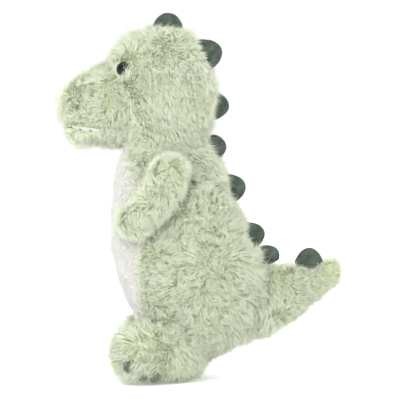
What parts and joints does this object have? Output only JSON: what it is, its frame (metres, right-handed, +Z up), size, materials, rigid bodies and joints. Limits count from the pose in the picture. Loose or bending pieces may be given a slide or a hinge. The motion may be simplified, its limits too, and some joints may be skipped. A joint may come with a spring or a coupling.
{
  "type": "stuffed dinosaur",
  "caption": "Soft standing plush dinosaur with a rounded head and snout, small arms, broad feet, a back ridge of velour spikes and a short tail.",
  "frame": {"origin": "on the floor under the middle of the toy's box", "axes": "+Z up, nose towards -Y, the toy's left side towards +X, tail towards +Y"},
  "size_m": [0.165, 0.232, 0.3],
  "materials": {
    "long_pile_green": "pale green long-pile plush with lighter tips",
    "short_pile_white": "white short-pile plush",
    "velour_dark_green": "dark green short-pile velour",
    "fibre_filling": "soft polyester fibre",
    "eye_plastic": "glossy",
    "washer_plastic": "matte",
    "felt_white": "white felt",
    "nostril_thread": "brown embroidery thread",
    "pellet_bag_cloth": "plain weave",
    "label_ribbon": "woven satin ribbon, blank"
  },
  "bodies": {
    "torso": {"belly_panel": "short_pile_white", "care_label": "label_ribbon", "seat_panel": "long_pile_green", "spike_4_cover": "velour_dark_green", "spike_4_filling": "fibre_filling", "spike_5_cover": "velour_dark_green", "spike_5_filling": "fibre_filling", "spike_6_cover": "velour_dark_green", "spike_6_filling": "fibre_filling", "spike_7_cover": "velour_dark_green", "spike_7_filling": "fibre_filling", "torso_cover_left": "long_pile_green", "torso_cover_right": "long_pile_green", "torso_stuffing": "fibre_filling"},
    "head": {"eye_left": "eye_plastic", "eye_right": "eye_plastic", "eye_washer_left": "washer_plastic", "eye_washer_right": "washer_plastic", "head_cover_left": "long_pile_green", "head_cover_right": "long_pile_green", "head_stuffing": "fibre_filling", "jaw_cover": "long_pile_green", "nostril_left": "nostril_thread", "nostril_right": "nostril_thread", "snout_cover": "long_pile_green", "snout_stuffing": "fibre_filling", "spike_1_cover": "velour_dark_green", "spike_1_filling": "fibre_filling", "spike_2_cover": "velour_dark_green", "spike_2_filling": "fibre_filling", "spike_3_cover": "velour_dark_green", "spike_3_filling": "fibre_filling", "teeth_left": "felt_white", "teeth_right": "felt_white"},
    "arm_left": {"arm_cover_inner_left": "long_pile_green", "arm_cover_outer_left": "long_pile_green", "arm_stuffing_left": "fibre_filling"},
    "arm_right": {"arm_cover_inner_right": "long_pile_green", "arm_cover_outer_right": "long_pile_green", "arm_stuffing_right": "fibre_filling"},
    "leg_left": {"claw_inner_left": "velour_dark_green", "claw_middle_left": "velour_dark_green", "claw_outer_left": "velour_dark_green", "leg_cover_left": "long_pile_green", "leg_stuffing_left": "fibre_filling", "pellet_bag_left": "pellet_bag_cloth", "sole_left": "long_pile_green"},
    "leg_right": {"claw_inner_right": "velour_dark_green", "claw_middle_right": "velour_dark_green", "claw_outer_right": "velour_dark_green", "leg_cover_right": "long_pile_green", "leg_stuffing_right": "fibre_filling", "pellet_bag_right": "pellet_bag_cloth", "sole_right": "long_pile_green"},
    "tail": {"spike_8_cover": "velour_dark_green", "spike_8_filling": "fibre_filling", "tail_cover_left": "long_pile_green", "tail_cover_right": "long_pile_green", "tail_stuffing": "fibre_filling"}
  },
  "joints": [
    {"name": "head_turn", "type": "hinge", "parent": "torso", "child": "head", "pos_m": [0, -0.027, 0.19], "axis": [0, 0, 1], "range_deg": [-25, 25], "stiffness_Nm_per_rad": 0.12},
    {"name": "arm_left_raise", "type": "hinge", "parent": "torso", "child": "arm_left", "pos_m": [0.054, -0.022, 0.171], "axis": [-1, 0, 0], "range_deg": [0, 45], "stiffness_Nm_per_rad": 0.03},
    {"name": "arm_right_raise", "type": "hinge", "parent": "torso", "child": "arm_right", "pos_m": [-0.054, -0.022, 0.171], "axis": [-1, 0, 0], "range_deg": [0, 45], "stiffness_Nm_per_rad": 0.03},
    {"name": "leg_left_raise", "type": "hinge", "parent": "torso", "child": "leg_left", "pos_m": [0.03, -0.018, 0.025], "axis": [-1, 0, 0], "range_deg": [0, 15], "stiffness_Nm_per_rad": 0.1},
    {"name": "leg_right_raise", "type": "hinge", "parent": "torso", "child": "leg_right", "pos_m": [-0.03, -0.018, 0.025], "axis": [-1, 0, 0], "range_deg": [0, 15], "stiffness_Nm_per_rad": 0.1},
    {"name": "tail_swing", "type": "hinge", "parent": "torso", "child": "tail", "pos_m": [0, 0.038, 0.062], "axis": [0, 0, 1], "range_deg": [-15, 15], "stiffness_Nm_per_rad": 0.06}
  ]
}
